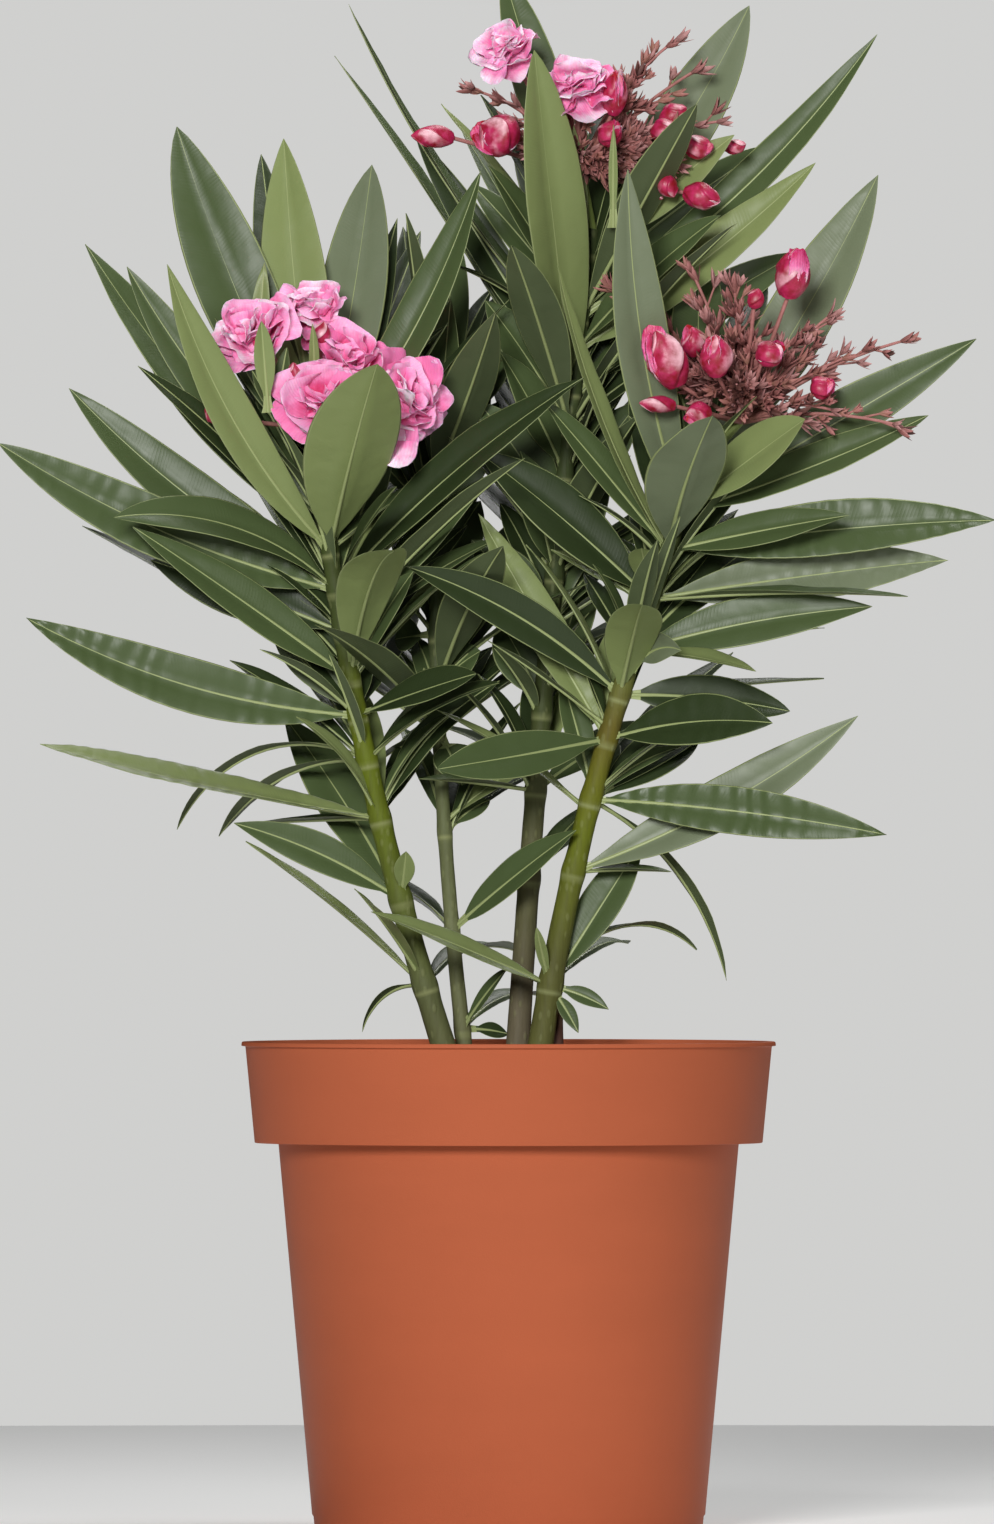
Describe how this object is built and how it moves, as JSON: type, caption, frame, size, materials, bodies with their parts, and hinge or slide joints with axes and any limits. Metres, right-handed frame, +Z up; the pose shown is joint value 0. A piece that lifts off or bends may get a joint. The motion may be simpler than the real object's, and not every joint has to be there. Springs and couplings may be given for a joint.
{
  "type": "potted oleander",
  "caption": "Oleander in a plastic nursery pot: slender leafy stems with whorls of narrow leaves and end trusses of double pink flowers and buds, standing on the flat underside of its pot",
  "frame": {"origin": "the middle of the pot's flat underside, on the ground", "axes": "+Z up along the plant's height, the longest extent; -Y is the front, the side that the trusses and the fullest leaves face; +X to the right seen from the front"},
  "size_m": [0.4281, 0.2717, 0.6729],
  "materials": {
    "terracotta_plastic": "satin, moulded",
    "peat_compost": "crumbly, matte",
    "bark_left": "smooth green bark",
    "bark_back": "smooth olive bark",
    "bark_middle": "woody grey-brown bark",
    "bark_right": "smooth olive-green bark",
    "bark_stub": "dry red-brown bark",
    "leaf_green": "satin, leathery leaf",
    "blossom_pink": "soft matte petal"
  },
  "bodies": {
    "root": {"compost": "peat_compost", "crown_back": "leaf_green", "crown_left": "leaf_green", "crown_middle": "leaf_green", "crown_right": "leaf_green", "pot": "terracotta_plastic", "stem_back": "bark_back", "stem_left": "bark_left", "stem_middle": "bark_middle", "stem_right": "bark_right", "stem_stub": "bark_stub", "truss_left": "blossom_pink", "truss_middle": "blossom_pink", "truss_right": "blossom_pink", "whorl_back_1": "leaf_green", "whorl_back_2": "leaf_green", "whorl_back_3": "leaf_green", "whorl_left_1": "leaf_green", "whorl_left_2": "leaf_green", "whorl_left_3": "leaf_green", "whorl_left_4": "leaf_green", "whorl_left_5": "leaf_green", "whorl_middle_1": "leaf_green", "whorl_middle_2": "leaf_green", "whorl_middle_3": "leaf_green", "whorl_right_1": "leaf_green", "whorl_right_2": "leaf_green", "whorl_right_3": "leaf_green", "whorl_right_4": "leaf_green", "whorl_right_5": "leaf_green"}
  },
  "joints": []
}
